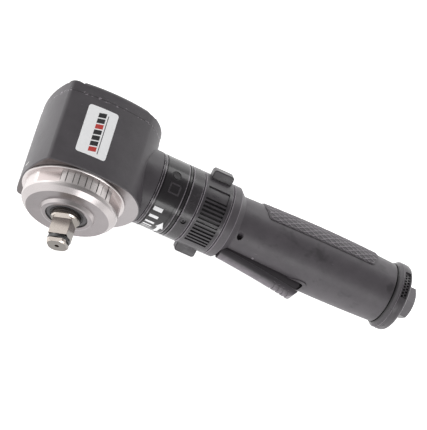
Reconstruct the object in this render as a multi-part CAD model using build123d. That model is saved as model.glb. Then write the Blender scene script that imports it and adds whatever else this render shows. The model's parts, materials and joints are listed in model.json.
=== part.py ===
"""Right-angle air impact wrench with a 1/2 inch square drive.

Everything is drawn, in millimetres, about the point where the drive axis (Y) crosses the handle
axis (X). The square drive points to -Y, the handle runs to +X and the sticker faces +Z. save()
then shifts each piece so that the origin is the centre of the anvil's end face.
"""

from build123d import *
from math import atan2, cos, hypot, radians, sin, tan
import os

os.makedirs("parts", exist_ok=True)

# ---- Driving dimensions ----
anvil_reach = 67.0  # from the handle axis to the anvil's end face
square_size = 12.7  # 1/2 inch drive, across flats
square_turn = -34.0  # degrees that the square stands turned about the drive axis
run_gap = 0.06  # radial clearance of a shaft in its bush

# Head
case_front_y, case_back_y = -27.0, 26.0
head_distal_x, head_corner_x, head_corner_z = -35.0, -30.0, 30.3
head_crown_x, head_crown_z = -2.0, 35.1
head_shoulder_x, head_shoulder_z, head_near_x = 27.0, 31.8, 44.6
distal_corner_r, shoulder_corner_r = 3.4, 12.0
case_edge = 0.6  # chamfer round the machined front face
case_bore_r = 30.0
neck_r, neck_end_x = 25.5, 46.0
pinion_seat_r = 9.0
gasket_t = 0.4
cover_back_y, cover_edge_r, cover_inset = 35.0, 2.4, 0.3
cover_pocket_r, cover_pocket_y = 27.0, 31.0
boss_r, boss_back_y, boss_groove_w, boss_groove_y = 5.9, 34.7, 1.5, 33.0
screw_places = [(-25.0, 25.0), (-25.0, -25.0), (24.5, 24.5), (24.5, -24.5)]  # x, z
screw_r, screw_head_r, screw_tip_y, screw_seat_y, screw_top_y = 2.5, 4.2, 13.0, 30.2, 34.4
label_x, label_y, label_t, label_corner_r = (-15.8, 4.9), (-15.9, 20.0), 0.3, 2.0

# Nose
nose_rim_r, nose_land_r, nose_front_r = 34.5, 32.2, 31.1
band_back_y, band_front_y = -28.6, -37.6
tooth_groups, teeth_per_group, tooth_pitch, tooth_angle = 2, 5, 15.0, 6.5
tooth_floor_r = 31.85
flat_angle, flat_distance = 47.8, 30.2  # a spanner flat on each side of a tooth group
nose_hole_r, seal_r, seal_back_y = 14.2, 14.1, -41.5
bush_r, bush_back_y = 13.0, -34.0

# Anvil and hammers
anvil_r, anvil_core_r, anvil_pilot_r = 9.8, 8.0, 5.0
jaw_r, jaw_width = 12.5, 9.0
square_corner_r, tip_r, anvil_end_r = 8.85, 7.7, 6.8
square_start_y, shank_end_y = -49.4, -47.2
square_groove_y, groove_r = (-64.2, -61.1), 5.7
cage_r, cage_back_y, cage_front_y = 25.0, -11.5, -33.0
cage_plate_t, cage_bar_inner_r, cage_bar_angle = 3.0, 22.8, 50.0
hammer_t, hammer_outer_r, hammer_bore_r = 7.2, 20.6, 13.9
lug_width, lug_inner_r = 8.0, 9.9
hammer_pin_place, hammer_pin_r = 19.5, 3.15
hammer_pivot_gap, hammer_stop_gap = 0.05, 2.5
spindle_r, spindle_shoulder_r, spindle_journal_r = 8.0, 8.5, 5.0

# Bevel gears, apex at the crossing of the axes
gear_module, gear_teeth, pinion_teeth = 1.75, 25, 10
tooth_addendum, tooth_root = 1.05, 1.65
tooth_half_t, flank_slope = 1.05, tan(radians(20))
toe_scale = 0.72  # the tooth's inner end, as a share of the distance from the apex
sleeve_r = 6.0  # the pinion's sleeve

# Motor
housing_r, housing_bore_r, housing_end_x = 22.0, 19.5, 104.0
spigot_r, spigot_x = 20.9, 42.2
motor_r, liner_bore_r, liner_offset = 19.4, 16.0, 1.7
rotor_r, rotor_x = 14.0, (56.5, 92.5)
shaft_r = 4.0
vane_count, vane_t, vane_slot_t, vane_root_r, vane_tip_r = 6, 1.9, 2.1, 7.0, 13.95
bearing_outer_r, bearing_w = 11.0, 7.0
front_plate_x, liner_x, rear_plate_x = (47.2, 56.0), (56.1, 92.9), (93.0, 101.5)

# Collars
collar_r = 25.3
regulator_x, spacer_x, reverse_x = (46.35, 68.1), (68.4, 77.1), (77.4, 98.6)
tab_angle, tab_x, tab_tip_r, tab_half_width = 46.0, (81.3, 96.0), 31.0, 3.9
rib_count, rib_pitch, rib_first, rib_half_angle, rib_floor_r = 12, 6.4, -10.0, 1.4, 23.8

# Handle
flange_r, flange_x, handle_start_x, handle_end_x = 25.2, (98.9, 105.3), 109.6, 226.5
handle_bulge = [(109.6, 20.9), (130.0, 21.5), (168.0, 22.5), (200.0, 22.2), (226.5, 21.3)]
pad_x, pad_low_y, pad_shoulder_y, pad_slant = (124.3, 211.5), 4.3, 13.5, 3.6
pad_depth, pad_rise = 1.2, 0.5
recess_x, recess_floor_y, recess_half_width = (105.7, 168.2), -8.5, 5.4
rim_rise = 0.8
pivot_x, pivot_y, pin_r, pin_half_length = 112.8, -14.0, 1.5, 11.0
lever_half_width, paddle_half_width, paddle_side = 4.5, 5.05, 1.1
lever_x, paddle_low_y, paddle_tip_r = (106.1, 166.2), -34.0, 8.4
paddle_line = [(106.1, -20.8), (133.0, -23.7), (167.0, -28.7)]
valve_x, stem_r, valve_chamber_r = 140.0, 2.0, 6.0
passage_r, exhaust_r, rear_cavity_r, rear_cavity_x = 5.0, 4.5, 18.5, 175.0
tube_r, tube_x = 7.0, (168.2, 205.8)

# Rear end
deflector_x, deflector_r = (227.0, 237.4), 24.1
shank_r, shank_x, hex_flats, hex_x = 9.0, 200.0, 21.0, (236.8, 248.0)
hex_turn = 18.75  # degrees
inlet_r, inlet_depth = 5.6, 14.0


# ---- Helpers ----
def save(name, shape):
    export_step(Pos(0, anvil_reach, 0) * shape, f"parts/{name}.step")


def group(shapes):
    return Compound(children=[solid for shape in shapes for solid in shape.solids()])


def rod_x(r, x0, x1, y=0.0, z=0.0):
    return Pos((x0 + x1) / 2, y, z) * Rot(0, 90, 0) * Cylinder(r, x1 - x0)


def rod_y(r, y0, y1, x=0.0, z=0.0):
    return Pos(x, (y0 + y1) / 2, z) * Rot(90, 0, 0) * Cylinder(r, y1 - y0)


def rod_z(r, z0, z1, x=0.0, y=0.0):
    return Pos(x, y, (z0 + z1) / 2) * Cylinder(r, z1 - z0)


def block(x0, x1, y0, y1, z0, z1):
    return Pos((x0 + x1) / 2, (y0 + y1) / 2, (z0 + z1) / 2) * Box(x1 - x0, y1 - y0, z1 - z0)


def flat(points):
    return make_face(Polyline(*points, close=True).edges())


def turned_x(points):
    """Turned about the handle axis: points are (x, radius)."""
    return revolve(flat(points), Axis.X)


def turned_y(points):
    """Turned about the drive axis: points are (y, radius)."""
    return revolve(flat([(r, y) for y, r in points]), Axis.Y)


def tube_x_solid(r0, r1, x0, x1):
    return rod_x(r1, x0, x1) - rod_x(r0, x0 - 1, x1 + 1)


def tube_y_solid(r0, r1, y0, y1):
    return rod_y(r1, y0, y1) - rod_y(r0, y0 - 1, y1 + 1)


def arc_x(points, low, high):
    """Part of a turned shape about X: its angles run from +Z (0) towards +Y (90)."""
    return Rot(90 - high, 0, 0) * revolve(flat(points), Axis.X, high - low)


def sector_x(r0, r1, x0, x1, low, high):
    return arc_x([(x0, r0), (x0, r1), (x1, r1), (x1, r0)], low, high)


def sector_y(r0, r1, y0, y1, middle, width):
    """Part of a ring about Y: its middle is at an angle from +Z (0) towards +X (90)."""
    face = flat([(r0, y0), (r1, y0), (r1, y1), (r0, y1)])
    return Rot(0, middle - width / 2 - 90, 0) * revolve(face, Axis.Y, width)


def around_x(shape, angle):
    """Turns a shape that was drawn on the +Z side towards +Y."""
    return Rot(-angle, 0, 0) * shape


def prism_y(outline, y0, y1):
    """A plan outline, drawn in (x, z), pulled from y0 to y1."""
    return extrude(Plane.XZ.offset(-y0) * outline, amount=y0 - y1)


def bearing(bore, outer, x0, width):
    """Inner race, outer race and balls of a ball bearing about X."""
    race_t = (outer - bore) * 0.3
    inner = tube_x_solid(bore, bore + race_t, x0, x0 + width)
    outer_race = tube_x_solid(outer - race_t, outer, x0, x0 + width)
    ball_r = (outer - bore) / 2 - race_t - 0.06
    middle_r = (bore + outer) / 2
    balls = [
        Rot(45 * k, 0, 0) * Pos(x0 + width / 2, middle_r, 0) * Sphere(ball_r) for k in range(8)
    ]
    return inner, outer_race, group(balls)


# ---- Head ----
def head_outline(inset=0.0):
    """The head seen along the drive axis, in (x, z): crowned sides, a rounder side to the neck."""
    near, far = (head_corner_x, head_corner_z), (head_corner_x, -head_corner_z)
    shoulder, far_shoulder = (head_shoulder_x, head_shoulder_z), (head_shoulder_x, -head_shoulder_z)
    sides = [
        ThreePointArc(near, (head_crown_x, head_crown_z), shoulder),
        ThreePointArc(shoulder, (head_near_x, 0), far_shoulder),
        ThreePointArc(far_shoulder, (head_crown_x, -head_crown_z), far),
        ThreePointArc(far, (head_distal_x, 0), near),
    ]
    outline = make_face([side.edge() for side in sides])
    for radius, places in (
        (distal_corner_r, (near, far)),
        (shoulder_corner_r, (shoulder, far_shoulder)),
    ):
        for place in places:
            corner = outline.vertices().sort_by_distance(Vector(*place))[0]
            outline = fillet(corner, radius)
    return offset(outline, amount=-inset) if inset else outline


def hammer_case():
    case = prism_y(head_outline(), case_front_y, case_back_y)
    case = chamfer(case.edges().group_by(Axis.Y)[0], case_edge)
    case += rod_x(neck_r, 25, neck_end_x)
    case -= rod_y(case_bore_r, case_front_y - 1, case_back_y + 1)
    case -= rod_x(pinion_seat_r, 20, neck_end_x + 1)
    case -= rod_x(spigot_r + 0.02, spigot_x, neck_end_x + 1)
    for x, z in screw_places:
        case -= rod_y(screw_r + 0.02, screw_tip_y - 2, case_back_y + 1, x, z)
    return case


def back_cover():
    cover = prism_y(head_outline(cover_inset), case_back_y + gasket_t, cover_back_y)
    cover = fillet(cover.edges().group_by(Axis.Y)[-1], cover_edge_r)
    for x, z in screw_places:
        cover -= rod_y(boss_r + boss_groove_w, boss_groove_y, cover_back_y + 1, x, z)
        boss = rod_y(boss_r, boss_groove_y - 1, boss_back_y, x, z)
        cover += fillet(boss.edges().group_by(Axis.Y)[-1], 1.4)
    pocket = rod_y(cover_pocket_r, case_back_y, cover_pocket_y)
    cover -= pocket - rod_y(bearing_outer_r + 3, case_back_y, cover_pocket_y)
    cover -= rod_y(bearing_outer_r + 0.02, case_back_y, case_back_y + bearing_w)
    for x, z in screw_places:
        cover -= rod_y(screw_r + 0.3, case_back_y, boss_back_y + 1, x, z)
        cover -= rod_y(screw_head_r + 0.25, screw_seat_y, boss_back_y + 1, x, z)
    return cover


def back_cover_gasket():
    gasket = prism_y(head_outline(0.4), case_back_y, case_back_y + gasket_t)
    gasket -= rod_y(case_bore_r, case_back_y - 1, case_back_y + 1)
    for x, z in screw_places:
        gasket -= rod_y(screw_r + 0.3, case_back_y - 1, case_back_y + 1, x, z)
    return gasket


def back_cover_screws():
    screw = rod_y(screw_r, screw_tip_y, screw_seat_y)
    head = rod_y(screw_head_r, screw_seat_y, screw_top_y)
    screw += fillet(head.edges().group_by(Axis.Y)[-1], 0.5)
    screw -= prism_y(RegularPolygon(2.3, 6), screw_top_y - 2.6, screw_top_y + 1)
    return group(Pos(x, 0, z) * screw for x, z in screw_places)


def label_plate():
    skin = prism_y(head_outline(-label_t), *label_y) - prism_y(head_outline(), *label_y)
    width, height = label_x[1] - label_x[0], label_y[1] - label_y[0]
    window = RectangleRounded(width, height, label_corner_r)
    middle = Pos(sum(label_x) / 2, sum(label_y) / 2, 20)
    return skin & (middle * extrude(window, amount=30))


# ---- Nose ----
def nose_ring():
    ring = turned_y(
        [
            (-19.0, 27.5), (-19.0, 29.9), (case_front_y, 29.9), (case_front_y, nose_rim_r - 0.3),
            (case_front_y - 0.3, nose_rim_r), (band_back_y + 0.4, nose_rim_r),
            (band_back_y, nose_rim_r - 0.4), (band_back_y, nose_land_r), (band_front_y, nose_land_r),
            (-38.7, 31.9), (-40.0, nose_front_r), (-42.9, 28.0), (-42.5, 18.4),
            (-44.7, 17.2), (-45.1, 16.0), (-44.7, nose_hole_r), (seal_back_y, nose_hole_r),
            (seal_back_y, bush_r), (bush_back_y, bush_r), (bush_back_y, 16.5), (-39.5, 16.5),
            (-39.5, 27.5),
        ]
    )
    span = tooth_pitch * (teeth_per_group - 1)
    band_w = band_back_y - band_front_y
    slab = Pos(0, (band_front_y + band_back_y) / 2, flat_distance + 5) * Box(50, band_w, 10)
    gap_angle = tooth_pitch - tooth_angle
    flat_width = 40  # the slab stops at the tooth group, and runs out of the land before this
    for turn in range(tooth_groups):
        group = turn * 360 / tooth_groups
        for side in (-1, 1):
            beside = group + side * (span + tooth_angle + flat_width) / 2
            ring -= (Rot(0, group + side * flat_angle, 0) * slab) & sector_y(
                flat_distance - 2, nose_land_r + 9, band_front_y - 1, band_back_y + 1, beside, flat_width
            )
        for step in range(teeth_per_group - 1):
            middle = group + (step + 0.5) * tooth_pitch - span / 2
            ring -= sector_y(
                tooth_floor_r, nose_land_r + 1, band_front_y, band_back_y, middle, gap_angle
            )
    return ring


def nose_seal():
    return tube_y_solid(anvil_r + 0.35, seal_r, -44.0, seal_back_y)


def anvil_bushing():
    return tube_y_solid(anvil_r + run_gap, bush_r, seal_back_y, bush_back_y)


# ---- Anvil and hammers ----
def anvil():
    body = turned_y(
        [
            (-6.0, 0), (-6.0, anvil_pilot_r - 0.5), (-6.5, anvil_pilot_r), (-14.8, anvil_pilot_r),
            (-14.8, anvil_core_r), (-30.0, anvil_core_r), (-30.0, anvil_r), (-44.0, anvil_r),
            (-44.0, 0),
        ]
    )
    jaws = block(-jaw_r - 1, jaw_r + 1, -29.8, -15.0, -jaw_width / 2, jaw_width / 2)
    body += jaws & rod_y(jaw_r, -30, -14)
    groove_front, groove_back = square_groove_y
    drive = turned_y(
        [
            (-43.9, 0), (-43.9, anvil_r), (shank_end_y, anvil_r),
            (shank_end_y + square_corner_r - anvil_r, square_corner_r),
            (groove_back, square_corner_r), (groove_back, groove_r), (groove_front, groove_r),
            (groove_front, tip_r), (tip_r - anvil_end_r - anvil_reach, tip_r),
            (-anvil_reach, anvil_end_r), (-anvil_reach, 0),
        ]
    )
    return body + (drive & square_envelope()) - rod_y(1.5, -anvil_reach - 1, 2.5 - anvil_reach)


def square_envelope():
    """The square, with a 45 degree ramp from each of its flats out to the round shank."""
    half = square_size / 2
    ramp = shank_end_y - square_start_y
    straight = block(-half, half, -anvil_reach, square_start_y, -half, half)
    wires = []
    for y, size in ((square_start_y, half), (square_start_y + ramp, half + ramp)):
        corners = [Vector(x * size, y, z * size) for x, z in ((-1, -1), (1, -1), (1, 1), (-1, 1))]
        wires.append(Wire.make_polygon(corners))
    ramps = Solid.make_loft(wires, ruled=True)
    behind = block(-12, 12, shank_end_y, -43, -12, 12)
    return Rot(0, square_turn, 0) * (straight + ramps + behind)


def socket_retaining_ring():
    ring = tube_y_solid(groove_r + 0.75, 7.7, square_groove_y[0] + 0.3, square_groove_y[1] - 0.3)
    ring = fillet(ring.edges().filter_by(GeomType.CIRCLE).sort_by(SortBy.RADIUS)[-2:], 0.7)
    return ring - block(0, 10, -70, -55, -0.8, 0.8)


def retaining_o_ring():
    return tube_y_solid(groove_r + 0.02, groove_r + 0.7, square_groove_y[0] + 0.4, square_groove_y[1] - 0.4)


def hammer_cage():
    front_plate_back_y = cage_front_y + cage_plate_t
    rear_plate_front_y = cage_back_y - cage_plate_t
    cage = turned_y(
        [
            (rear_plate_front_y, 0), (rear_plate_front_y, cage_r - 0.6),
            (rear_plate_front_y + 0.6, cage_r), (cage_back_y - 0.6, cage_r),
            (cage_back_y, cage_r - 0.6), (cage_back_y, spindle_shoulder_r),
            (7.3, spindle_shoulder_r), (7.3, spindle_r), (20.0, spindle_r), (20.0, 7.0),
            (26.3, 7.0), (26.3, spindle_journal_r), (33.0, spindle_journal_r), (33.0, 0),
        ]
    )
    cage += tube_y_solid(jaw_r + 0.8, cage_r, cage_front_y, front_plate_back_y)
    for side in (0, 180):
        cage += sector_y(
            cage_bar_inner_r, cage_r, front_plate_back_y, rear_plate_front_y, side, cage_bar_angle
        )
    cage -= rod_y(anvil_pilot_r + run_gap, rear_plate_front_y - 1, -5.5)
    for x in (-hammer_pin_place, hammer_pin_place):
        cage -= rod_y(hammer_pin_r, cage_front_y - 1, cage_back_y + 1, x)
    return cage


def hammer_pins():
    return group(
        rod_y(hammer_pin_r, cage_front_y, cage_back_y, x)
        for x in (-hammer_pin_place, hammer_pin_place)
    )


def hammer(y0, pivot_side):
    """One swinging ring hammer: it pivots on one pin, and the other pin stops it."""
    y1 = y0 + hammer_t
    ring = tube_y_solid(hammer_bore_r, hammer_outer_r, y0, y1)
    lug = block(-lug_width / 2, lug_width / 2, y0, y1, lug_inner_r, hammer_bore_r + 2)
    ring += lug
    pivot_x_place = pivot_side * hammer_pin_place
    ring -= rod_y(hammer_pin_r + hammer_pivot_gap, y0 - 1, y1 + 1, pivot_x_place)
    stop = hammer_pin_r + hammer_stop_gap
    ring -= block(-pivot_x_place - 3.8, -pivot_x_place + 3.8, y0 - 1, y1 + 1, -stop, stop)
    return ring


def front_hammer():
    return hammer(-29.7, 1)


def rear_hammer():
    return hammer(-22.2, -1)


# ---- Bevel gears ----
pinion_pitch_r = gear_module * pinion_teeth / 2
gear_pitch_r = gear_module * gear_teeth / 2
cone_angle = atan2(pinion_pitch_r, gear_pitch_r)


def bevel_tooth(along, across):
    """A straight tooth from heel to toe. along and across are the pitch line and the way out."""
    heel_distance = hypot(pinion_pitch_r, gear_pitch_r)
    sections = []
    for scale in (1.0, toe_scale):
        corners = []
        for height in (-tooth_root - 0.3, tooth_addendum):
            half = tooth_half_t - height * flank_slope
            for side in (-1, 1):
                corner = along * heel_distance + across * height + Vector(0, 0, side * half)
                corners.append(corner * scale)
        low_far, low_near, high_far, high_near = corners
        sections.append(Face(Wire.make_polygon([low_far, low_near, high_near, high_far])))
    return Solid.make_loft([face.outer_wire() for face in sections], ruled=True)


def bevel_gear():
    c, s = cos(cone_angle), sin(cone_angle)
    heel_r = gear_pitch_r - tooth_root * s
    heel_y = pinion_pitch_r + tooth_root * c
    gear = turned_y(
        [
            (heel_y * toe_scale, spindle_r + 0.02), (heel_y * toe_scale, heel_r * toe_scale),
            (heel_y, heel_r), (heel_y + 1.6, heel_r + 0.6), (heel_y + 4.0, heel_r - 0.6),
            (heel_y + 5.5, 13.0), (19.8, 12.0), (19.8, spindle_r + 0.02),
        ]
    )
    tooth = bevel_tooth(Vector(c, s, 0), Vector(s, -c, 0))
    for k in range(gear_teeth):
        gear += Rot(0, k * 360 / gear_teeth, 0) * tooth
    return gear


def bevel_pinion():
    c, s = cos(cone_angle), sin(cone_angle)
    heel_x = gear_pitch_r + tooth_root * s
    heel_r = pinion_pitch_r - tooth_root * c
    bore = shaft_r + 0.02
    pinion = turned_x(
        [
            (heel_x * toe_scale, bore), (heel_x * toe_scale, heel_r * toe_scale),
            (heel_x, heel_r), (heel_x + 1.2, heel_r + 0.4), (heel_x + 3.2, sleeve_r),
            (41.4, sleeve_r), (41.4, bore),
        ]
    )
    tooth = bevel_tooth(Vector(c, s, 0), Vector(-s, c, 0))
    for k in range(pinion_teeth):
        pinion += Rot((k + 0.5) * 360 / pinion_teeth, 0, 0) * tooth
    return pinion


def pinion_bushing():
    return tube_x_solid(sleeve_r + run_gap, pinion_seat_r - 0.02, 28.5, 41.5)


# ---- Motor ----
def motor_housing():
    sleeve = tube_x_solid(housing_bore_r, housing_r, neck_end_x + 0.05, housing_end_x)
    sleeve += tube_x_solid(housing_bore_r, spigot_r, spigot_x + 0.1, neck_end_x + 0.1)
    sleeve += tube_x_solid(12.5, housing_bore_r + 0.5, spigot_x + 1, front_plate_x[0] - 0.1)
    for angle in (150, 180, 210):
        sleeve -= around_x(rod_z(2.2, 15, 30, 88), angle)
    for x in (57.5, 88.0):
        sleeve -= around_x(rod_z(1.4, 15, 30, x), 60)
    return sleeve


def motor_front_plate():
    x0, x1 = front_plate_x
    plate = tube_x_solid(6.0, motor_r, x0, x1)
    return plate - rod_x(bearing_outer_r + 0.02, x0 - 1, x0 + 0.1 + bearing_w)


def motor_rear_plate():
    x0, x1 = rear_plate_x
    plate = tube_x_solid(6.0, motor_r, x0, x1)
    return plate - rod_x(bearing_outer_r + 0.02, x1 - bearing_w, x1 + 1)


def motor_cylinder():
    x0, x1 = liner_x
    liner = rod_x(motor_r, x0, x1) - rod_x(liner_bore_r, x0 - 1, x1 + 1, 0, liner_offset)
    for x in (64, 74, 84):
        liner -= rod_z(1.8, -30, 0, x)
    return liner


def rotor():
    x0, x1 = rotor_x
    body = rod_x(rotor_r, x0, x1) + rod_x(shaft_r, 24.0, rear_plate_x[1] + 0.5)
    half = vane_slot_t / 2
    slot = block(x0 - 1, x1 + 1, -half, half, vane_root_r - 0.1, rotor_r + 2)
    for k in range(vane_count):
        body -= around_x(slot, k * 360 / vane_count)
    return body


def rotor_vanes():
    half = vane_t / 2
    vane = block(rotor_x[0] + 0.1, rotor_x[1] - 0.1, -half, half, vane_root_r, vane_tip_r)
    return group(around_x(vane, k * 360 / vane_count) for k in range(vane_count))


# ---- Collars ----
def collar(x0, x1, bore):
    """A plain collar with softly broken edges."""
    edge = 0.5
    return turned_x(
        [
            (x0, bore), (x0, collar_r - edge), (x0 + edge, collar_r), (x1 - edge, collar_r),
            (x1, collar_r - edge), (x1, bore),
        ]
    )


def regulator_ring():
    x0, x1 = regulator_x
    ring = collar(x0, x1, housing_r + run_gap)
    for groove_x in (49.0, 65.7):
        ring -= tube_x_solid(collar_r - 0.7, collar_r + 1, groove_x, groove_x + 0.7)
    ring -= sector_x(collar_r - 0.5, collar_r + 1, 50.4, 63.0, -128, -37)
    ring -= around_x(rod_z(3.3, collar_r - 0.5, collar_r + 2, 56.6), 6)
    ring += around_x(rod_z(2.4, 24, collar_r, 56.6), 6)
    return ring


def regulator_detent_ball():
    return around_x(Pos(57.5, 0, 20.75) * Sphere(1.15), 60)


def spacer_ring():
    ring = collar(*spacer_x, housing_r + 0.02)
    return ring - around_x(rod_z(1.9, 20, 30, 72.5), -55.6)


def spacer_set_screw():
    screw = rod_z(1.8, housing_r + 0.05, 23.7, 72.5)
    screw -= Pos(72.5, 0, 22.9) * extrude(RegularPolygon(1.0, 6), amount=3)
    return around_x(screw, -55.6)


def reverse_ring():
    x0, x1 = reverse_x
    ring = collar(x0, x1, housing_r + run_gap)
    ring -= sector_x(24.3, collar_r + 1, 79.9, 95.6, -10, 15)
    ring -= sector_x(rib_floor_r, collar_r + 1, 79.9, 95.6, -85.5, -5)
    for k in range(rib_count):
        middle = rib_first - k * rib_pitch
        low, high = middle - rib_half_angle, middle + rib_half_angle
        ring += sector_x(rib_floor_r - 0.2, 25.1, 79.8, 95.7, low, high)
    tab = block(*tab_x, -tab_half_width, tab_half_width, 23.5, tab_tip_r)
    tab = fillet(tab.edges().filter_by(Axis.Y).group_by(Axis.Z)[-1], 2.0)
    tab = fillet(tab.edges().group_by(Axis.Z)[-1], 0.8)
    for angle in (tab_angle, tab_angle + 180):
        ring += around_x(tab, angle)
    return ring


def reverse_detent_ball():
    return around_x(Pos(88.0, 0, 20.75) * Sphere(1.15), 60)


# ---- Handle ----
def handle_profile(rise=0.0, x_range=None):
    """The handle's half section, (x, radius), with its gently barrelled outline."""
    barrel = Spline(*[(x, r + rise) for x, r in handle_bulge])
    start, end = handle_bulge[0], handle_bulge[-1]
    inner = 10.0
    sides = Polyline((end[0], end[1] + rise), (end[0], inner), (start[0], inner), (start[0], start[1] + rise))
    face = make_face([barrel.edge(), *sides.edges()])
    if x_range:
        width = x_range[1] - x_range[0]
        face &= Pos(sum(x_range) / 2, 20) * Rectangle(width, 40)
    return face


def pad_space():
    """The raised pad on the handle's back, with the seat that it is let into."""
    outer, inner = handle_profile(pad_rise, pad_x), handle_profile(-pad_depth, pad_x)
    x0, x1 = pad_x
    side = flat(
        [
            (x0, 30), (x0, pad_shoulder_y), (x0 + pad_slant, pad_low_y),
            (x1 - pad_slant, pad_low_y), (x1, pad_shoulder_y), (x1, 30),
        ]
    )
    side = fillet(side.vertices().filter_by(lambda v: v.Y < 20), 3.0)
    return revolve(outer - inner, Axis.X) & extrude(side, amount=30, both=True)


def grip_pad():
    return pad_space()


def recess_rim():
    """A low moulded rim round the end of the lever's recess."""
    end = recess_x[1]
    width = recess_half_width
    outline = flat(
        [
            (end - 15, width - 0.6), (end - 5, width + 1.9), (end + 2.4, width + 1.9),
            (end + 2.4, -width - 1.9), (end - 5, -width - 1.9), (end - 15, 0.6 - width),
        ]
    )
    outline = fillet(outline.vertices().group_by(Axis.X)[-1], 3.6)
    raised = revolve(handle_profile(rim_rise, (end - 20, end + 5)), Axis.X)
    return raised & prism_y(outline, -30, -12)


def handle_shell():
    shell = revolve(handle_profile(), Axis.X)
    shell += rod_x(12.0, flange_x[0], handle_end_x)
    shell += turned_x(
        [
            (flange_x[0], 0), (flange_x[0], flange_r - 0.5), (flange_x[0] + 0.5, flange_r),
            (flange_x[1] - 0.6, flange_r), (flange_x[1] + 0.4, flange_r - 0.9),
            (handle_start_x - 0.8, 21.6), (handle_start_x + 0.3, 20.9), (handle_start_x + 0.3, 0),
        ]
    )
    shell -= rod_x(housing_r + 0.02, flange_x[0] - 1, housing_end_x + 0.1)
    shell -= pad_space()
    recess = block(*recess_x, -30, recess_floor_y, -recess_half_width, recess_half_width)
    recess = fillet(recess.edges().filter_by(Axis.Y).group_by(Axis.X)[-1], 2.2)
    shell += recess_rim()
    shell -= recess
    shell -= rod_z(pin_r + 0.02, -pin_half_length - 0.1, pin_half_length + 0.1, pivot_x, pivot_y)
    shell -= rod_z(2.1, pin_half_length, 30, pivot_x, pivot_y)
    shell -= rod_z(2.1, -30, -pin_half_length, pivot_x, pivot_y)
    shell -= rod_y(4.5, -12, -3, valve_x) + rod_y(valve_chamber_r, -3, 30, valve_x)
    shell -= rod_x(passage_r, valve_x, rear_cavity_x + 1)
    shell -= rod_x(tube_r + 0.02, 168, rear_cavity_x + 1)
    shell -= rod_x(4.0, flange_x[0], valve_x, 7.0)
    for z in (-13, 13):
        shell -= rod_x(exhaust_r, housing_end_x - 1, rear_cavity_x + 1, 3.0, z)
    shell -= rod_x(rear_cavity_r, rear_cavity_x, handle_end_x + 1)
    return shell


def lever():
    """The throttle lever at rest: side walls in the recess, and a round-bottomed paddle below."""
    start, end = lever_x
    path = ThreePointArc(*paddle_line)
    half, side = paddle_half_width, paddle_side
    section = make_face(
        [
            *Polyline((-half, side), (-half, 0.4), (0.4 - half, 0), (half - 0.4, 0)).edges(),
            *Polyline((half - 0.4, 0), (half, 0.4), (half, side)).edges(),
            ThreePointArc((half, side), (0, side + half), (-half, side)).edge(),
        ]
    )
    paddle = sweep(Plane(path @ 0, x_dir=(0, 0, 1), z_dir=path % 0) * section, path=path)
    tip_view = flat([(start, -15), (start, paddle_low_y), (end, paddle_low_y), (end, -15)])
    tip_view = fillet(tip_view.vertices().sort_by_distance(Vector(end, paddle_low_y))[0], paddle_tip_r)
    paddle &= extrude(tip_view, amount=10, both=True)
    walls = flat(
        [
            (start, -17.6), (start, -22.5), (133.0, -25.0), (163.0, -29.0), (end - 0.3, -24.0),
            (end - 0.6, -19.0), (128.0, -16.4), (118.0, -16.4),
        ]
    )
    body = paddle + extrude(walls, amount=lever_half_width, both=True)
    plan = Pos((start + end) / 2, 0) * Rectangle(end - start, 2 * half)
    plan = fillet(plan.vertices().group_by(Axis.X)[-1], 2.2)
    body &= prism_y(plan, -40, -10)
    for k in range(4):
        x = 147.5 + 3.6 * k
        middle_y = -27.0 - 0.55 * k
        groove = rod_x(half + 1, x, x + 1.5, middle_y) - rod_x(half - 0.5, x - 1, x + 3, middle_y)
        body -= groove & block(x - 1, x + 3, -40, middle_y - 1.8, -8, 8)
    body += rod_z(4.2, -lever_half_width, lever_half_width, pivot_x, pivot_y)
    return body - rod_z(pin_r + run_gap, -10, 10, pivot_x, pivot_y)


def lever_pin():
    return rod_z(pin_r, -pin_half_length, pin_half_length, pivot_x, pivot_y)


def valve_seat():
    return tube_y_at_valve(stem_r + run_gap, 4.48, recess_floor_y, -3.1)


def tube_y_at_valve(r0, r1, y0, y1):
    return rod_y(r1, y0, y1, valve_x) - rod_y(r0, y0 - 1, y1 + 1, valve_x)


def valve_stem():
    stem = rod_y(stem_r, -16.6, -2.0, valve_x) + rod_y(4.6, -2.7, 0.0, valve_x)
    return stem + rod_y(1.8, 0.0, 3.0, valve_x)


def valve_spring():
    turns_pitch, wire_r, coil_r, low_y, high_y = 2.4, 0.55, 3.3, 0.7, 12.3
    path = Helix(turns_pitch, high_y - low_y, coil_r)
    start = path @ 0
    wire = sweep(Plane(start, z_dir=path % 0) * Circle(wire_r), path=path)
    return Pos(valve_x, low_y, 0) * Rot(-90, 0, 0) * wire


def valve_plug():
    plug = rod_y(valve_chamber_r - 0.02, 13.0, 19.5, valve_x)
    plug += rod_y(1.8, 10.5, 13.0, valve_x)
    slot = block(valve_x - 7, valve_x + 7, 18.2, 21, -0.7, 0.7)
    return plug - slot


def air_tube():
    return tube_x_solid(passage_r, tube_r, *tube_x)


# ---- Rear end ----
def muffler_felt():
    return tube_x_solid(shank_r + 0.5, 17.8, 207.0, 221.8)


def exhaust_baffle():
    plate = tube_x_solid(shank_r + 0.02, rear_cavity_r - 0.05, 222.0, 226.4)
    for k in range(10):
        plate -= around_x(rod_x(1.9, 220, 228, 0, 14.0), 36 * k)
    return plate


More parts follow.
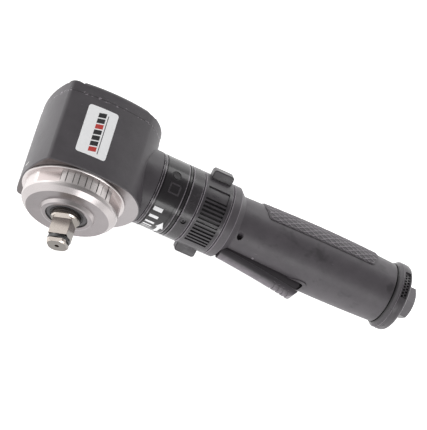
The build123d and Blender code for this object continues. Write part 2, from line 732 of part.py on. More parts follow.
def exhaust_deflector():
    x0, x1 = deflector_x
    ring = turned_x(
        [
            (x0, 20.4), (x0, 21.8), (x0 + 0.4, 22.0), (x0 + 1.4, 22.5), (x0 + 2.9, 23.8),
            (x0 + 3.4, 24.0), (x0 + 3.7, 23.6), (x0 + 4.0, 23.8), (x0 + 6.0, deflector_r),
            (x0 + 8.8, 23.8), (x1 - 0.5, 23.2), (x1, 22.6), (x1, 20.0), (x1 - 1.2, 18.5),
            (x1 - 1.2, shank_r + run_gap), (x1 - 3.6, shank_r + run_gap), (x1 - 3.6, 20.4),
        ]
    )
    ring -= sector_x(22.8, 26, 231.6, 235.9, -24, 25)
    for row, x in enumerate((232.7, 234.8)):
        for k in range(8):
            ring -= around_x(rod_z(0.8, 18, 26, x), -21 + 5.6 * (k + row / 2))
    return ring


def deflector_o_ring():
    return tube_x_solid(8.22, shank_r + 0.02, 234.6, 235.4)


def inlet_bushing():
    x0, x1 = hex_x
    body = rod_x(shank_r, shank_x, x0)
    hexagon = RegularPolygon(hex_flats / 2, 6, major_radius=False)
    nut = Pos(x0, 0, 0) * Rot(hex_turn, 0, 0) * Rot(0, 90, 0) * extrude(hexagon, amount=x1 - x0)
    nut &= turned_x([(x0, 0), (x0, 13), (x1 - 1.4, 13), (x1, 9.8), (x1, 0)])
    body += nut
    body -= tube_x_solid(8.2, 10, 234.5, 235.5)
    body -= rod_x(inlet_r, x1 - inlet_depth, x1 + 1)
    body -= rod_x(passage_r, shank_x - 1, x1 - inlet_depth + 1)
    return body - rod_x(tube_r + 0.02, shank_x - 1, shank_x + 6)


def inlet_screen():
    screen = rod_x(passage_r - 0.02, 228.0, 228.6)
    for k in range(8):
        screen -= around_x(rod_x(0.6, 227, 230, 0, 3.4), 45 * k)
        screen -= around_x(rod_x(0.45, 227, 230, 0, 1.7), 45 * k + 22.5)
    return screen - rod_x(0.6, 227, 230)


# ---- Write the pieces ----
single_pieces = [
    hammer_case, back_cover, back_cover_gasket, back_cover_screws, label_plate,
    nose_ring, nose_seal, anvil_bushing, anvil, socket_retaining_ring, retaining_o_ring,
    hammer_cage, hammer_pins, front_hammer, rear_hammer, bevel_gear, bevel_pinion,
    pinion_bushing, motor_housing, motor_front_plate, motor_rear_plate, motor_cylinder, rotor,
    rotor_vanes, regulator_ring, regulator_detent_ball, spacer_ring, spacer_set_screw,
    reverse_ring, reverse_detent_ball, grip_pad, handle_shell, lever, lever_pin, valve_seat,
    valve_stem, valve_spring, valve_plug, air_tube, muffler_felt, exhaust_baffle,
    exhaust_deflector, deflector_o_ring, inlet_bushing, inlet_screen,
]
for piece in single_pieces:
    save(piece.__name__, piece())

front_bearing = bearing(shaft_r, bearing_outer_r, front_plate_x[0] + 0.05, bearing_w)
rear_bearing = bearing(shaft_r, bearing_outer_r, rear_plate_x[1] - bearing_w, bearing_w)
head_bearing = [
    Rot(0, 0, 90) * shape
    for shape in bearing(spindle_journal_r, bearing_outer_r, case_back_y + 0.4, 6.5)
]
bearings = {"front_motor": front_bearing, "rear_motor": rear_bearing, "head": head_bearing}
for place, shapes in bearings.items():
    for piece_name, shape in zip(("inner_race", "outer_race", "balls"), shapes):
        save(f"{place}_bearing_{piece_name}", shape)
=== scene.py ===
"""The looks of a right-angle air impact wrench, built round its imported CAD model.

Pieces are drawn in millimetres, in the frame of the CAD model, and mm turns them into metres.
"""

import json
from math import ceil, cos, degrees, floor, pi, radians, sin

import bmesh
import bpy
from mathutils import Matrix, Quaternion, Vector


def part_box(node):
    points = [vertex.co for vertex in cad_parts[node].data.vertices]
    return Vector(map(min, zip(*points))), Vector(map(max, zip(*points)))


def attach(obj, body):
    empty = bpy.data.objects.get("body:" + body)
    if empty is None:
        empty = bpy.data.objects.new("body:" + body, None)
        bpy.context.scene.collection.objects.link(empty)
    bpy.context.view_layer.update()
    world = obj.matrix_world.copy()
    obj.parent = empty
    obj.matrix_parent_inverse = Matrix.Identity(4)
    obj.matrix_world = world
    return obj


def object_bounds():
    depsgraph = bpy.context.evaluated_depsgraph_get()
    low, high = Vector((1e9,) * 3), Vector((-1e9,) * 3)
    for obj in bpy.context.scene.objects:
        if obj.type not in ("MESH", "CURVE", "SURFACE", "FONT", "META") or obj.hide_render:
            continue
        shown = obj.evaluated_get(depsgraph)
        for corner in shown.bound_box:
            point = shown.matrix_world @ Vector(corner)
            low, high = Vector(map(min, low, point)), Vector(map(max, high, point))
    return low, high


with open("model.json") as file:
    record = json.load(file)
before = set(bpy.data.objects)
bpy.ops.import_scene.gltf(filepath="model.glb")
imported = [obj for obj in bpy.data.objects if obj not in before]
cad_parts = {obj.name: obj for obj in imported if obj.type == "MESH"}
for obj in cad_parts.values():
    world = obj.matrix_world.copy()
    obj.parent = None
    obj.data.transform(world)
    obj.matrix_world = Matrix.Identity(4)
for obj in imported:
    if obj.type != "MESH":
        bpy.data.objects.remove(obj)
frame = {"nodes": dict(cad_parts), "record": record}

cad_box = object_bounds()
mm = 0.001


# ---- Places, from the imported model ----
def box_mm(node):
    """A node's lowest and highest corner, in millimetres."""
    low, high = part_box(node)
    return Vector(low) / mm, Vector(high) / mm


case_low, case_high = box_mm("hammer_case")
spacer_low, spacer_high = box_mm("spacer_ring")
regulator_low, regulator_high = box_mm("regulator_ring")
reverse_low, reverse_high = box_mm("reverse_ring")
rear_low, rear_high = box_mm("exhaust_deflector")
pad_low, pad_high = box_mm("grip_pad")
label_low, label_high = box_mm("label_plate")
seal_low, seal_high = box_mm("nose_seal")
lever_low = box_mm("lever")[0]
seam_y = box_mm("back_cover")[0].y
handle_y = (spacer_low.y + spacer_high.y) / 2
collar_r = (spacer_high.y - spacer_low.y) / 2

# The nose ring's toothed band along Y, its teeth in degrees, and the radii of its flats and chamfer.
band_low, band_high = case_low.y - 10.6, case_low.y - 1.6
tooth_pitch, half_tooth, half_group = 15.0, 3.25, 34.5
flat_r, chamfer_r = 31.6, 26.0

# The handle's front flange along X, and a chip in its coating beside the lever.
flange_low, flange_high = 98.9, 105.3
chip_place = Vector((128.2, 46.5, 6.3))

# The radii of the slots' floors, where painted shade darkens the slots, and those beyond which the edges are
# pale: worn on the handle's flange, a painted highlight on the collars.
rib_floor_r, slot_floor_r = 23.8, 22.0
flange_edge_r, regulator_edge_r, spacer_edge_r, reverse_edge_r = 24.4, 24.3, 24.5, 24.6
rear_edge_r, rear_lip_r = 22.8, 23.5

# The lever's shelf is a parabola along X. Its curve is per metre.
shelf_y, shelf_slope, shelf_curve = handle_y - 20.8, -0.0903, -0.65
shelf_half_z = 4.6


# ---- Node graphs ----
class Graph:
    """A material's node tree, with its Principled shader as .shader."""

    def __init__(self, name):
        self.material = bpy.data.materials.new(name)
        self.material.use_nodes = True
        self.tree = self.material.node_tree
        self.tree.nodes.clear()
        self.shader = self.add("ShaderNodeBsdfPrincipled")
        output = self.add("ShaderNodeOutputMaterial")
        self.link(self.shader.outputs["BSDF"], output.inputs["Surface"])
        self.place = self.add("ShaderNodeTexCoord").outputs["Object"]
        split = self.add("ShaderNodeSeparateXYZ")
        self.link(self.place, split.inputs[0])
        self.x, self.y, self.z = split.outputs

    def add(self, kind, **settings):
        node = self.tree.nodes.new(kind)
        for name, value in settings.items():
            setattr(node, name, value)
        return node

    def link(self, source, target):
        self.tree.links.new(source, target)

    def feed(self, socket, value):
        """Sets a socket to a number or colour, or links an output to it."""
        if isinstance(value, bpy.types.NodeSocket):
            self.link(value, socket)
        else:
            socket.default_value = value

    def math(self, operation, *values):
        node = self.add("ShaderNodeMath", operation=operation)
        for socket, value in zip(node.inputs, values):
            self.feed(socket, value)
        return node.outputs[0]

    def times(self, first, second):
        return self.math("MULTIPLY", first, second)

    def ramp(self, value, low, high, to_low=0.0, to_high=1.0):
        node = self.add("ShaderNodeMapRange", clamp=True)
        for socket, number in zip(node.inputs, (value, low, high, to_low, to_high)):
            self.feed(socket, number)
        return node.outputs[0]

    def stretched(self, x, y, z):
        """Object coordinates, scaled along each axis."""
        node = self.add("ShaderNodeMapping")
        self.link(self.place, node.inputs["Vector"])
        node.inputs["Scale"].default_value = (x, y, z)
        return node.outputs[0]

    def noise(self, size, detail=2.0, roughness=0.5, place=None):
        """Noise whose blobs are about size millimetres across."""
        node = self.add("ShaderNodeTexNoise")
        self.link(place or self.place, node.inputs["Vector"])
        node.inputs["Scale"].default_value = 1 / (size * mm)
        node.inputs["Detail"].default_value = detail
        node.inputs["Roughness"].default_value = roughness
        return node.outputs["Fac"]

    def mix(self, share, first, second):
        """A colour between two colours."""
        node = self.add("ShaderNodeMix", data_type="RGBA")
        factor, colour_a, colour_b = node.inputs[0], node.inputs[6], node.inputs[7]
        self.feed(factor, share)
        self.feed(colour_a, first)
        self.feed(colour_b, second)
        return node.outputs[2]

    def bump(self, height, depth, before=None):
        """A bump as deep as depth millimetres."""
        node = self.add("ShaderNodeBump")
        node.inputs["Distance"].default_value = depth * mm
        self.link(height, node.inputs["Height"])
        if before is not None:
            self.link(before, node.inputs["Normal"])
        return node.outputs["Normal"]

    def near(self, value, place, half):
        """1 within half millimetres of a place, in millimetres."""
        away = self.math("ABSOLUTE", self.math("SUBTRACT", value, place * mm))
        return self.ramp(away, half * 0.6 * mm, half * mm, 1.0, 0.0)

    def facing(self, axis):
        """One part of the surface's normal."""
        split = self.add("ShaderNodeSeparateXYZ")
        self.link(self.add("ShaderNodeTexCoord").outputs["Normal"], split.inputs[0])
        return split.outputs[axis]

    def set(self, name, value):
        self.feed(self.shader.inputs[name], value)

    @property
    def colour(self):
        """The output that feeds the base colour."""
        return self.shader.inputs["Base Color"].links[0].from_socket

    def radius(self, axis):
        """The distance from the drive axis (Y) or the handle axis (X)."""
        across = self.x if axis == "Y" else self.math("SUBTRACT", self.y, handle_y * mm)
        squares = self.math("ADD", self.times(across, across), self.times(self.z, self.z))
        return self.math("SQRT", squares)


def grey(level, tint=0.12):
    """A near neutral dark grey, a little short of green."""
    return (level * (1 + tint), level, level * (1 + tint), 1.0)


def shade(colour, share=1.0):
    """A colour, made lighter or darker by a share."""
    return tuple(min(channel * share, 1.0) for channel in colour) + (1.0,)


# ---- Materials ----
def coating(name, roughness):
    """A dark coating's fine grain and uneven sheen, with no colour yet."""
    g = Graph(name)
    cloud = g.noise(14, 4.0, 0.6)
    g.set("Roughness", g.ramp(cloud, 0.3, 0.7, roughness - 0.05, roughness + 0.05))
    g.set("Normal", g.bump(g.noise(0.4, 2.0, 0.6), 0.012))
    return g


def coated(name, level, roughness):
    """A dark coating with faint smudges."""
    g = coating(name, roughness)
    g.set("Base Color", g.mix(g.noise(14, 4.0, 0.6), grey(level * 0.85), grey(level * 1.15)))
    return g


def casting(name, machined=False):
    """The head's black coating: cast grain, chips along the seam, and a bare front face with painted shade,
    darker towards -X.
    """
    g = Graph(name)
    cloud = g.noise(16, 4.0, 0.6)
    grain = g.noise(0.55, 3.0, 0.6)
    edge = g.near(g.y, seam_y, 1.5)
    chips = g.ramp(g.noise(1.3, 3.0, 0.7, g.stretched(0.35, 1.0, 1.0)), 0.58, 0.62)
    dust = g.ramp(g.noise(1.0, 2.0, 0.7), 0.74, 0.78, 0.0, 0.6)
    wear = g.math("MAXIMUM", g.times(edge, chips), dust)
    paint = g.mix(cloud, grey(0.042), grey(0.072))
    colour = g.mix(wear, paint, grey(0.30))
    roughness = g.ramp(cloud, 0.3, 0.7, 0.36, 0.46)
    if machined:
        bare = g.math("LESS_THAN", g.y, (case_low.y + 0.05) * mm)
        # Painted shade: the bare face darkens towards -X and is lighter towards the lobe at +X.
        lobe = g.ramp(g.x, 18 * mm, 32 * mm)
        steel = g.mix(lobe, shade((0.14, 0.125, 0.125)), shade((0.38, 0.355, 0.36)))
        rings = g.noise(0.3, 2.0, 0.6, g.stretched(1.0, 1.0, 0.05))
        colour = g.mix(bare, colour, steel)
        roughness = g.ramp(bare, 0.0, 1.0, roughness, g.ramp(rings, 0.3, 0.7, 0.28, 0.4))
        g.set("Metallic", bare)
    g.set("Base Color", colour)
    g.set("Roughness", roughness)
    g.set("Normal", g.bump(grain, 0.02, g.bump(g.noise(7, 2.0), 0.12)))
    return g


def turned(name, colour, roughness, axis="Y"):
    """Turned metal: fine rings round an axis, and faint stains."""
    g = Graph(name)
    along = g.y if axis == "Y" else g.x
    ring_place = g.add("ShaderNodeCombineXYZ")
    g.link(g.math("ADD", along, g.radius(axis)), ring_place.inputs[0])
    rings = g.noise(0.16, 2.0, 0.6, ring_place.outputs[0])
    g.set("Metallic", 1.0)
    g.set("Base Color", g.mix(g.noise(7, 4.0, 0.6), shade(colour, 0.9), shade(colour, 1.1)))
    g.set("Roughness", g.ramp(rings, 0.3, 0.7, roughness - 0.06, roughness + 0.08))
    g.set("Normal", g.bump(rings, 0.004))
    return g


def toothed_ring(name, colour, painted_reflection):
    """The nose ring: painted reflections on its walls and rim, a duller brown painted reflection on its
    flats, painted shadow lines beside its teeth and painted shade on the dish towards -X.
    """
    g = turned(name, colour, 0.30)
    radius, facing_y = g.radius("Y"), g.facing("Y")
    tilt = g.math("ABSOLUTE", facing_y)
    # Painted reflection: the pale colour on faces turned out from the drive axis and on the outer chamfer.
    cone = g.times(g.ramp(tilt, 0.82, 0.94, 0.5, 0.0), g.math("GREATER_THAN", radius, chamfer_r * mm))
    wall = g.math("MAXIMUM", g.ramp(tilt, 0.3, 0.65, 1.0, 0.0), cone)
    # Painted shade: front-facing surfaces darken towards -X.
    front = g.ramp(facing_y, -0.97, -0.9, 1.0, 0.0)
    painted_shade = g.times(g.ramp(g.x, -25 * mm, 20 * mm, 0.35, 0.0), front)
    # Painted reflection: the rim behind the toothed band is pale.
    rim = g.math("GREATER_THAN", g.y, (band_high - 0.2) * mm)
    in_band = g.near(g.y, (band_low + band_high) / 2, (band_high - band_low) / 2 + 0.2)
    # Painted reflection: the flats in the band take a duller brownish colour.
    flat = g.times(g.math("LESS_THAN", radius, flat_r * mm), in_band)
    # Painted shadow: dark lines along both sides of each tooth in the groups.
    turn = g.times(g.math("ARCTAN2", g.x, g.z), degrees(1))
    group = g.math("WRAP", turn, 90.0, -90.0)
    tooth = g.math("ABSOLUTE", g.math("WRAP", group, tooth_pitch / 2, -tooth_pitch / 2))
    side = g.ramp(g.math("ABSOLUTE", g.math("SUBTRACT", tooth, half_tooth)), 0.3, 0.75, 1.0, 0.0)
    in_group = g.math("LESS_THAN", g.math("ABSOLUTE", group), half_group)
    line = g.times(g.times(side, in_group), in_band)
    face = g.mix(wall, g.colour, shade(painted_reflection))
    face = g.mix(painted_shade, face, shade((0.10, 0.095, 0.095)))
    face = g.mix(rim, face, shade((0.62, 0.58, 0.575)))
    face = g.mix(g.times(flat, 0.8), face, shade((0.42, 0.36, 0.35)))
    g.set("Base Color", g.mix(line, face, shade((0.10, 0.093, 0.09))))
    return g


def square_drive(name):
    """The anvil: bright ramps, a darker end face, and painted shade on the side facing +X."""
    g = turned(name, (0.56, 0.505, 0.46), 0.20)
    end = g.ramp(g.facing("Y"), -0.97, -0.9, 1.0, 0.0)
    # Painted shade: the side facing +X is darker.
    painted_shade = g.ramp(g.facing("X"), 0.3, 0.6, 0.0, 0.85)
    darker_end_and_shaded_side = g.math("MAXIMUM", end, painted_shade)
    g.set("Base Color", g.mix(darker_end_and_shaded_side, g.colour, shade((0.20, 0.185, 0.17))))
    return g


def lever_coating(name, level):
    """The lever: painted highlights along its low edge, its underside and its shelf's edge."""
    g = coating(name, 0.40)
    drop = g.math("SUBTRACT", g.y, lever_low.y * mm)
    # Painted highlights: paler near the low edge, on faces turned to -Y and along the shelf's edge at its
    # sides.
    low = g.ramp(drop, 2.5 * mm, 6.0 * mm, 0.35, 0.0)
    under = g.ramp(g.facing("Y"), -0.9, -0.6, 0.8, 0.0)
    along = g.math("SUBTRACT", g.x, lever_low.x * mm)
    bend = g.math("MULTIPLY_ADD", along, shelf_curve, shelf_slope)
    shelf = g.math("MULTIPLY_ADD", along, bend, shelf_y * mm)
    on_shelf = g.ramp(g.math("ABSOLUTE", g.math("SUBTRACT", g.y, shelf)), 0.3 * mm, 0.6 * mm, 1.0, 0.0)
    beside = g.math("GREATER_THAN", g.math("ABSOLUTE", g.z), shelf_half_z * mm)
    painted_highlight = g.math("MAXIMUM", low, g.math("MAXIMUM", under, g.times(on_shelf, beside)))
    broken = g.ramp(g.noise(4, 3.0, 0.6), 0.3, 0.6, 0.6, 1.0)
    g.set("Base Color", g.mix(g.times(painted_highlight, broken), grey(level), grey(0.20)))
    return g


def moulded_collar(name, level, roughness, streak=0.10, edges=(), floor_r=0.0):
    """A collar handled until it is shiny in places, with painted highlights on its edges and painted shade
    in its slots.

    edges are places along X, each with the radius beyond which the edge gets a painted highlight.
    """
    g = Graph(name)
    cloud = g.noise(5, 4.0, 0.6, g.stretched(0.6, 1.0, 1.0))
    colour = g.mix(cloud, grey(level * 0.7), grey(level * 1.3))
    radius = g.radius("X")
    if edges:
        # Painted highlight: pale lines along each edge beyond its radius.
        painted_highlight = 0.0
        for place, edge_r in edges:
            line = g.times(g.near(g.x, place, 0.32), g.math("GREATER_THAN", radius, edge_r * mm))
            painted_highlight = g.math("MAXIMUM", painted_highlight, line)
        broken = g.ramp(g.noise(3, 3.0, 0.6), 0.35, 0.5, 0.3, 1.0)
        colour = g.mix(g.times(painted_highlight, broken), colour, grey(0.20))
    if floor_r:
        # Painted shade: the slot floors darken to near black.
        deep = g.ramp(radius, (floor_r - 0.1) * mm, (floor_r + 0.5) * mm, 1.0, 0.0)
        colour = g.mix(deep, colour, grey(0.006))
    g.set("Base Color", colour)
    g.set("Roughness", g.ramp(cloud, 0.35, 0.65, roughness - streak, roughness + streak))
    g.set("Normal", g.bump(g.noise(0.4), 0.006))
    return g


def coated_shell(name, level, roughness):
    """The handle's coating: hand marks, fine scratches, a chip and pale flange edges."""
    g = coating(name, roughness)
    spots = g.ramp(g.noise(13, 3.0, 0.6, g.stretched(0.8, 1.0, 1.0)), 0.30, 0.42)
    paint = g.mix(g.noise(9, 5.0, 0.65), grey(level * 0.72), grey(level * 1.25))
    paint = g.mix(spots, grey(level * 0.6), paint)
    edge = g.math("MAXIMUM", g.near(g.x, flange_low + 0.5, 0.35), g.near(g.x, flange_high - 0.4, 0.35))
    rim = g.times(edge, g.math("GREATER_THAN", g.radius("X"), flange_edge_r * mm))
    scratches = g.ramp(g.noise(0.6, 2.0, 0.5, g.stretched(0.08, 1.0, 0.5)), 0.74, 0.77, 0.0, 0.35)
    chip = 3.0
    for value, place, half in zip((g.x, g.y, g.z), chip_place, (0.7, 0.6, 0.8)):
        chip = g.times(g.near(value, place, half), chip)
    wear = g.math("MAXIMUM", g.math("MAXIMUM", g.times(rim, 0.6), scratches), chip)
    g.set("Base Color", g.mix(wear, paint, grey(0.24)))
    return g


def film(name, colour):
    """A smooth printed film or paint."""
    g = Graph(name)
    g.set("Base Color", g.mix(g.noise(2.0, 3.0), shade(colour, 0.93), shade(colour)))
    g.set("Roughness", g.ramp(g.noise(4.0), 0.3, 0.7, 0.3, 0.42))
    return g


def fibrous(name, colour, roughness):
    """Felt, gasket paper or rubber: a matt surface with a clear grain."""
    g = Graph(name)
    fibres = g.noise(0.4, 4.0, 0.7, g.stretched(1.0, 0.4, 1.0))
    g.set("Base Color", g.mix(fibres, shade(colour, 0.75), shade(colour, 1.2)))
    g.set("Roughness", g.ramp(fibres, 0.3, 0.7, roughness - 0.06, roughness))
    g.set("Normal", g.bump(fibres, 0.05))
    g.set("Specular IOR Level", 0.25)
    return g


finishes = {
    "black_casting": casting("black_casting"),
    "handle_coating": coated_shell("handle_coating", 0.070, 0.44),
    "knurled_grip": coated("knurled_grip", 0.060, 0.46),
    "sticker": film("sticker", (0.97, 0.97, 0.98)),
    # The nose ring's second colour is the painted reflection on its walls.
    "nose_steel": toothed_ring("nose_steel", (0.30, 0.275, 0.28), (0.70, 0.655, 0.645)),
    "tool_steel": turned("tool_steel", (0.52, 0.47, 0.44), 0.24),
    "dark_steel": turned("dark_steel", (0.12, 0.115, 0.12), 0.36, "X"),
    "bearing_steel": turned("bearing_steel", (0.70, 0.70, 0.71), 0.16),
    "machined_aluminium": turned("machined_aluminium", (0.72, 0.72, 0.73), 0.3, "X"),
    "bronze": turned("bronze", (0.60, 0.41, 0.22), 0.4),
    "black_rubber": fibrous("black_rubber", (0.006, 0.006, 0.006), 0.40),
    "grey_rubber": fibrous("grey_rubber", (0.10, 0.095, 0.10), 0.55),
    "gasket_paper": fibrous("gasket_paper", (0.045, 0.04, 0.035), 0.8),
    "vane_composite": fibrous("vane_composite", (0.16, 0.08, 0.04), 0.5),
    "felt": fibrous("felt", (0.3, 0.3, 0.28), 0.95),
    "brass_mesh": turned("brass_mesh", (0.7, 0.56, 0.28), 0.35, "X"),
}
own_finishes = {
    "anvil": square_drive("anvil_steel"),
    "lever": lever_coating("lever_coating", 0.045),
    "hammer_case": casting("case_coating", machined=True),
    "regulator_ring": moulded_collar(
        "regulator_gloss", 0.018, 0.18, 0.05,
        edges=[
            (x, regulator_edge_r)
            for x in (regulator_low.x + 0.5, regulator_low.x + 2.1, regulator_high.x - 2.9)
        ],
    ),
    "spacer_ring": moulded_collar(
        "spacer_gloss", 0.034, 0.24,
        edges=[(x, spacer_edge_r) for x in (spacer_low.x + 0.5, spacer_high.x - 0.5)],
    ),
    "reverse_ring": moulded_collar(
        "ribbed_plastic", 0.042, 0.34, floor_r=rib_floor_r,
        edges=[(x, reverse_edge_r) for x in (reverse_low.x + 0.5, reverse_high.x - 0.5)],
    ),
    "exhaust_deflector": moulded_collar(
        "exhaust_coating", 0.050, 0.36, floor_r=slot_floor_r,
        edges=[
            (rear_low.x + 0.5, rear_edge_r), (rear_low.x + 3.6, rear_lip_r), (rear_high.x - 0.4, rear_edge_r)
        ],
    ),
    "inlet_bushing": turned("inlet_steel", (0.10, 0.095, 0.10), 0.38, "X"),
    "socket_retaining_ring": turned("ring_steel", (0.10, 0.10, 0.10), 0.25),
}
for row in frame["record"]["subparts"]:
    node = row["node"]
    finish = own_finishes.get(node) or finishes[row["material_slot"]]
    data = frame["nodes"][node].data
    data.materials.clear()
    data.materials.append(finish.material)


# ---- Pieces in mesh code ----
def finish_piece(name, mesh, finish, body):
    """Turns a bmesh in millimetres into a piece that rides on a body."""
    bmesh.ops.recalc_face_normals(mesh, faces=mesh.faces)
    bmesh.ops.scale(mesh, vec=(mm, mm, mm), verts=mesh.verts)
    data = bpy.data.meshes.new(name)
    mesh.to_mesh(data)
    mesh.free()
    data.shade_smooth()
    data.set_sharp_from_angle(angle=radians(35))
    data.materials.append(finish.material)
    piece = bpy.data.objects.new(name, data)
    bpy.context.scene.collection.objects.link(piece)
    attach(piece, body)


def from_handle_axis(radius):
    """Rays towards the handle axis. Places are (x, arc): 0 is +Z, and the arc grows towards +Y."""

    def ray(x, arc):
        angle = arc / radius
        outward = Vector((0, sin(angle), cos(angle)))
        return Vector((x, handle_y, 0)) + outward * 2 * radius, -outward

    return ray


def from_above(x, y):
    """Rays towards -Z. Places are (x, y)."""
    return Vector((x, y, case_high.z + 10)), Vector((0, 0, -1))


def from_the_end(y, z):
    """Rays towards +X, onto the head's far end. Places are (y, z)."""
    return Vector((case_low.x - 10, y, z)), Vector((1, 0, 0))


def laid_on(node, mesh, outline, ray, cell, height):
    """Adds a thin closed plate, cut to an outline and laid on a CAD surface in small cells.

    height is the plate's top above that surface, as a number or a function of the two places.
    """
    sink = 0.05
    target = frame["nodes"][node]
    to_target = target.matrix_world.inverted()
    plate = bmesh.new()
    plate.faces.new([plate.verts.new((u, v, 0)) for u, v in outline])
    for axis in (0, 1):
        places = [point[axis] for point in outline]
        for k in range(floor(min(places) / cell) + 1, ceil(max(places) / cell)):
            cut = Vector((0, 0, 0))
            cut[axis] = k * cell
            normal = Vector((0, 0, 0))
            normal[axis] = 1
            everything = plate.verts[:] + plate.edges[:] + plate.faces[:]
            bmesh.ops.bisect_plane(plate, geom=everything, plane_co=cut, plane_no=normal)
    top = bmesh.ops.extrude_face_region(plate, geom=plate.faces[:], use_keep_orig=True)
    for item in top["geom"]:
        if isinstance(item, bmesh.types.BMVert):
            item.co.z = 1
    for vert in plate.verts:
        u, v, is_top = vert.co
        start, towards = ray(u, v)
        found, point, _, _ = target.ray_cast(to_target @ (start * mm), towards)
        if not found:
            raise ValueError(f"{node} has no surface at {u:.2f}, {v:.2f}")
        rise = height(u, v) if callable(height) else height
        vert.co = (target.matrix_world @ point) / mm - towards * (rise if is_top else -sink)
    part = bpy.data.meshes.new("plate")
    plate.to_mesh(part)
    plate.free()
    mesh.from_mesh(part)
    bpy.data.meshes.remove(part)


def arcs(radius, *places):
    """(x, degrees) places as (x, arc)."""
    return [(x, radians(angle) * radius) for x, angle in places]


def rounded(u0, u1, v0, v1, corner):
    """A rectangle with round corners."""
    steps = 4
    points = []
    for u, v, turn in (
        (u1 - corner, v1 - corner, 0), (u0 + corner, v1 - corner, 90),
        (u0 + corner, v0 + corner, 180), (u1 - corner, v0 + corner, 270),
    ):
        for k in range(steps + 1):
            angle = radians(turn + 90 * k / steps)
            points.append((u + corner * cos(angle), v + corner * sin(angle)))
    return points


def scale_marks():
    """The white power scale: bars of falling width and an arrow, placed by degrees round the handle."""
    x0, x1 = regulator_low.x + 4.2, regulator_low.x + 10.7
    mesh = bmesh.new()
    ray = from_handle_axis(collar_r)
    for start, end in ((-51, -58), (-66.5, -72), (-81, -85.8), (-91.8, -95.2), (-99.5, -101.3)):
        low, high = radians(end) * collar_r, radians(start) * collar_r
        laid_on("regulator_ring", mesh, rounded(x0, x1, low, high, 0.25), ray, 1.0, 0.05)
    middle, shaft, barb = x1 + 4.6, 1.3, 2.7
    arrow = arcs(
        collar_r, (middle - shaft, -112), (middle + shaft, -112), (middle + shaft, -88),
        (middle + barb, -88), (middle, -73), (middle - barb, -88), (middle - shaft, -88),
    )
    laid_on("regulator_ring", mesh, arrow, ray, 1.0, 0.05)
    finish_piece("power_scale", mesh, film("white_paint", (0.85, 0.85, 0.86)), "regulator_body")


def regulator_frame():
    """A raised square frame on the smooth side of the regulator."""
    mesh = bmesh.new()
    ray = from_handle_axis(collar_r)
    x0, x1 = regulator_low.x + 7.6, regulator_low.x + 15.6
    low, high = radians(-24) * collar_r, radians(-7) * collar_r
    line = 1.1
    for u0, u1, v0, v1 in (
        (x0, x1, low, low + line), (x0, x1, high - line, high),
        (x0, x0 + line, low, high), (x1 - line, x1, low, high),
    ):
        laid_on("regulator_ring", mesh, rounded(u0, u1, v0, v1, 0.3), ray, 1.0, 0.12)
    frame_gloss = moulded_collar("frame_gloss", 0.045, 0.26)
    finish_piece("regulator_frame", mesh, frame_gloss, "regulator_body")


def label_print():
    """A plain printed pattern on the sticker: a row of slanted blocks beside a thin rule."""
    middle_x = (label_low.x + label_high.x) / 2
    ink, red = bmesh.new(), bmesh.new()
    blocks, block, gap, width, slant = 7, 3.4, 0.9, 5.2, 1.2
    start = label_low.y + 2.6
    for k in range(blocks):
        y = start + k * (block + gap)
        x0, x1 = middle_x - width / 2, middle_x + width / 2
        outline = [(x0, y), (x1, y + slant), (x1, y + block + slant), (x0, y + block)]
        laid_on("label_plate", red if k in (0, 4) else ink, outline, from_above, 1.5, 0.03)
    rule_x = middle_x + width / 2 + 1.1
    last = start + blocks * (block + gap) - gap
    laid_on("label_plate", ink, rounded(rule_x, rule_x + 0.5, start, last, 0.2), from_above, 1.5, 0.03)
    finish_piece("label_ink", ink, film("dark_ink", (0.02, 0.02, 0.022)), "housing")
    finish_piece("label_red", red, film("red_ink", (0.55, 0.05, 0.04)), "housing")


def knurl_coating(name, radius, length, across):
    """The grip's coating, paler on the crossed ridges."""
    g = coating(name, 0.42)
    along = g.times(g.x, 1 / (length * mm))
    off_axis = g.math("SUBTRACT", g.y, handle_y * mm)
    arc = g.times(g.math("ARCTAN2", off_axis, g.z), radius / across)
    crest = 0.0
    for operation in ("ADD", "SUBTRACT"):
        diagonal = g.math(operation, along, arc)
        away = g.math("ABSOLUTE", g.math("SUBTRACT", diagonal, g.math("ROUND", diagonal)))
        crest = g.math("MAXIMUM", crest, g.ramp(away, 0.04, 0.16, 1.0, 0.0))
    g.set("Base Color", g.mix(crest, grey(0.052), grey(0.17)))
    return g


def knurled_grip():
    """Crossed ridges, with small flat diamonds between them, over the raised pad."""
    pad_r = 22.5
    length, across, ridge, height = 6.6, 4.3, 0.55, 0.45

    def relief(x, arc):
        u, v = x / length + arc / across, x / length - arc / across
        slope = (1 / length**2 + 1 / across**2) ** 0.5
        away = min(abs(u - round(u)), abs(v - round(v))) / slope
        return 0.04 + height * max(0.0, 1 - (away / ridge) ** 2)

    x0, x1 = pad_low.x + 0.7, pad_high.x - 0.7
    slant, low, shoulder = 4.0, 12.5, 38
    outline = arcs(
        pad_r, (x0, shoulder), (x0 + slant, low), (x1 - slant, low), (x1, shoulder),
        (x1, 180 - shoulder), (x1 - slant, 180 - low), (x0 + slant, 180 - low), (x0, 180 - shoulder),
    )
    mesh = bmesh.new()
    laid_on("grip_pad", mesh, outline, from_handle_axis(pad_r), 0.5, relief)
    finish = knurl_coating("knurled_top", pad_r, length, across)
    finish_piece("grip_knurl", mesh, finish, "housing")


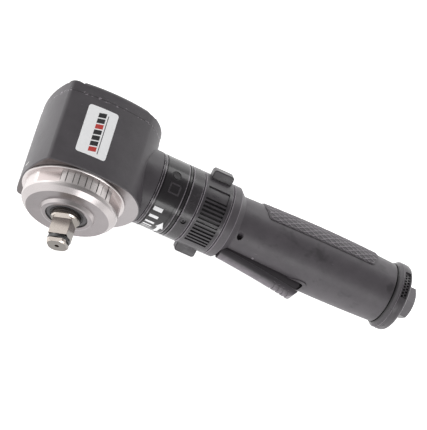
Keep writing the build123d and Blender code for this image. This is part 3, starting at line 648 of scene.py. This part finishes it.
def ring_round_y(mesh, middle_y, middle_r, half_y, half_r):
    """Adds a ring round the drive axis with an oval section."""
    turns, sides = 96, 12
    loops = []
    for t in range(turns):
        turn = 2 * pi * t / turns
        loop = []
        for s in range(sides):
            side = 2 * pi * s / sides
            r = middle_r + half_r * cos(side)
            place = (r * sin(turn), middle_y + half_y * sin(side), r * cos(turn))
            loop.append(mesh.verts.new(place))
        loops.append(loop)
    for t in range(turns):
        first, second = loops[t], loops[(t + 1) % turns]
        for s in range(sides):
            following = (s + 1) % sides
            mesh.faces.new((first[s], first[following], second[following], second[s]))


def seal_lips():
    """The shaft seal's outer bead and its lip against the anvil."""
    seal_r = (seal_high.x - seal_low.x) / 2
    mesh = bmesh.new()
    ring_round_y(mesh, seal_low.y + 0.1, seal_r - 0.35, 0.45, 0.4)
    ring_round_y(mesh, seal_low.y + 0.1, seal_r - 3.1, 0.5, 0.35)
    finish_piece("seal_lips", mesh, finishes["black_rubber"], "housing")


def head_mark():
    """A slim bright mark across the head's far end, near its front."""
    mesh = bmesh.new()
    outline = rounded(case_low.y + 6.5, case_low.y + 7.4, -4.6, 1.8, 0.4)
    laid_on("hammer_case", mesh, outline, from_the_end, 1.0, 0.06)
    finish_piece("head_mark", mesh, film("bright_mark", (0.75, 0.75, 0.72)), "housing")


scale_marks()
regulator_frame()
label_print()
knurled_grip()
seal_lips()
head_mark()


# ---- Stage ----
def pale_floor():
    """A pale floor under the tool, lit a little from within."""
    span, low = 3.0, cad_box[0].z
    corners = [(-span, -span, low), (span, -span, low), (span, span, low), (-span, span, low)]
    data = bpy.data.meshes.new("floor")
    data.from_pydata(corners, [], [(0, 1, 2, 3)])
    ground = bpy.data.objects.new("floor", data)
    bpy.context.scene.collection.objects.link(ground)
    g = Graph("floor")
    g.set("Base Color", g.mix(g.noise(300), grey(0.80, 0.0), grey(0.82, 0.0)))
    g.set("Roughness", 0.9)
    g.set("Emission Color", (1.0, 1.0, 1.0, 1.0))
    g.set("Emission Strength", 0.85)
    data.materials.append(g.material)


def studio_world():
    """A light tent: bright walls near the horizon, and a dimmer top."""
    world = bpy.data.worlds.new("studio")
    bpy.context.scene.world = world
    world.use_nodes = True
    tree = world.node_tree
    background = tree.nodes["Background"]
    background.inputs["Color"].default_value = (1.0, 1.0, 1.0, 1.0)
    place = tree.nodes.new("ShaderNodeTexCoord")
    split = tree.nodes.new("ShaderNodeSeparateXYZ")
    tree.links.new(place.outputs["Generated"], split.inputs[0])
    fade = tree.nodes.new("ShaderNodeMapRange")
    for socket, value in zip(fade.inputs[1:], (0.0, 0.9, 1.6, 0.2)):
        socket.default_value = value
    tree.links.new(split.outputs["Z"], fade.inputs[0])
    strength = fade.outputs[0]
    for axis, gain in (("X", -0.35), ("Y", 0.3)):
        tilt = tree.nodes.new("ShaderNodeMath")
        tilt.operation = "MULTIPLY_ADD"
        tree.links.new(split.outputs[axis], tilt.inputs[0])
        tilt.inputs[1].default_value = gain
        tilt.inputs[2].default_value = 1.0
        both = tree.nodes.new("ShaderNodeMath")
        both.operation = "MULTIPLY"
        tree.links.new(strength, both.inputs[0])
        tree.links.new(tilt.outputs[0], both.inputs[1])
        strength = both.outputs[0]
    tree.links.new(strength, background.inputs["Strength"])


def softbox(name, direction, distance, size, power):
    """A soft rectangular light that faces the tool's middle. Sizes are in metres."""
    light = bpy.data.lights.new(name, "AREA")
    light.shape = "RECTANGLE"
    light.size, light.size_y = size
    light.energy = power
    lamp = bpy.data.objects.new(name, light)
    bpy.context.scene.collection.objects.link(lamp)
    middle = (cad_box[0] + cad_box[1]) / 2
    lamp.location = middle + Vector(direction).normalized() * distance
    lamp.rotation_mode = "QUATERNION"
    lamp.rotation_quaternion = Vector(direction).to_track_quat("Z", "Y")


def camera():
    """Looks down on the tool from the drive's end, rolled so that the handle falls to the right."""
    azimuth, elevation, roll = radians(-28.84), radians(57.11), radians(49.0)
    distance, target = 1.470, Vector((0.0958, 0.0682, 0.0))
    data = bpy.data.cameras.new("camera")
    data.sensor_width = 36.0
    data.lens = 184.2
    eye = bpy.data.objects.new("camera", data)
    bpy.context.scene.collection.objects.link(eye)
    level = cos(elevation)
    back = Vector((sin(azimuth) * level, -cos(azimuth) * level, sin(elevation)))
    eye.location = target + back * distance
    eye.rotation_mode = "QUATERNION"
    eye.rotation_quaternion = (-back).to_track_quat("-Z", "Y") @ Quaternion((0, 0, 1), roll)
    bpy.context.scene.camera = eye


pale_floor()
studio_world()
softbox("front", (0.25, -0.84, 0.47), 0.9, (0.7, 0.25), 1.9)
softbox("back", (0.26, 0.77, 0.59), 0.9, (0.8, 0.3), 1.7)
camera()
bpy.context.scene.view_settings.view_transform = "Standard"
